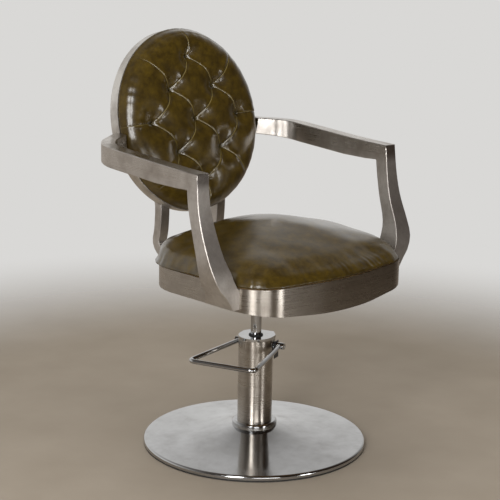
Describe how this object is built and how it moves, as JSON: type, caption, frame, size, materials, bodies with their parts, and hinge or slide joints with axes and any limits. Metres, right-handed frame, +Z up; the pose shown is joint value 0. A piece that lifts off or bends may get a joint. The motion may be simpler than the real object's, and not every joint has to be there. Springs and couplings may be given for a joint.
{
  "type": "hydraulic salon chair",
  "caption": "Hydraulic salon chair: oval diamond-tufted back, domed seat in a steel band, square steel arms, foot-pumped lift on a round chrome base.",
  "frame": {"origin": "On the floor, on the axis of the pump and its rod.", "axes": "+Z up. The chair faces -Y, and its left arm is on the +X side."},
  "size_m": [0.7038, 0.6699, 1.0524],
  "materials": {
    "base_chrome": "polished chrome plate, a little hazed",
    "pump_chrome": "polished chrome plate",
    "brushed_steel": "satin brushed, warm grey, worn",
    "plain_steel": "zinc plated",
    "black_paint": "black",
    "cast_iron": "painted black casting",
    "black_rubber": "black",
    "plywood": "raw birch plywood",
    "olive_leather": "antiqued olive leather cloth, soft gloss"
  },
  "bodies": {
    "base": {"base_plate": "cast_iron", "base_dish": "base_chrome", "edge_ring": "black_rubber", "pump_flange": "base_chrome", "pump_cover": "brushed_steel", "pump_body": "cast_iron", "pump_head": "pump_chrome", "rod_gland": "black_rubber", "stop_plate": "black_paint", "base_bolt_1": "plain_steel", "base_bolt_2": "plain_steel", "base_bolt_3": "plain_steel", "base_bolt_4": "plain_steel", "return_spring": "plain_steel"},
    "lift": {"piston_rod": "pump_chrome", "piston": "black_paint"},
    "seat": {"mounting_plate": "black_paint", "cross_rail_front": "plain_steel", "cross_rail_rear": "plain_steel", "seat_board": "plywood", "seat_band": "brushed_steel", "seat_cushion": "olive_leather", "back_post_left": "brushed_steel", "back_post_right": "brushed_steel", "back_ring": "brushed_steel", "back_board": "plywood", "back_cushion": "olive_leather", "back_rear_pad": "olive_leather", "arm_left": "brushed_steel", "arm_right": "brushed_steel", "plate_bolt_1": "plain_steel", "plate_bolt_2": "plain_steel", "plate_bolt_3": "plain_steel", "plate_bolt_4": "plain_steel", "arm_left_bolt_1": "plain_steel", "arm_left_bolt_2": "plain_steel", "arm_right_bolt_1": "plain_steel", "arm_right_bolt_2": "plain_steel", "back_post_left_bolt": "plain_steel", "back_post_left_screw": "plain_steel", "back_post_right_bolt": "plain_steel", "back_post_right_screw": "plain_steel"},
    "pedal": {"pivot_shaft": "pump_chrome", "foot_bar": "pump_chrome", "clamp_screw_near": "plain_steel", "clamp_screw_far": "plain_steel", "plunger_cam": "plain_steel"},
    "pump_plunger": {"plunger": "plain_steel"}
  },
  "joints": [
    {"name": "lift_slide", "type": "slide", "parent": "base", "child": "lift", "axis": [0, 0, 1], "range_m": [-0.14, 0.02]},
    {"name": "seat_swivel", "type": "hinge", "parent": "lift", "child": "seat", "pos_m": [0, 0, 0.455], "axis": [0, 0, 1], "continuous": true},
    {"name": "pedal_pivot", "type": "hinge", "parent": "base", "child": "pedal", "pos_m": [0.02342, 0.00876, 0.262], "axis": [0.3502, -0.9367, 0], "range_deg": [0, 24], "stiffness_Nm_per_rad": 8, "springref_deg": -20.05},
    {"name": "plunger_slide", "type": "slide", "parent": "base", "child": "pump_plunger", "axis": [0, 0, -1], "range_m": [0, 0.0076], "deforming": ["return_spring"]}
  ],
  "couplings": [
    {"joint": "plunger_slide", "follows": "pedal_pivot", "m_per_rad": 0.0175}
  ]
}
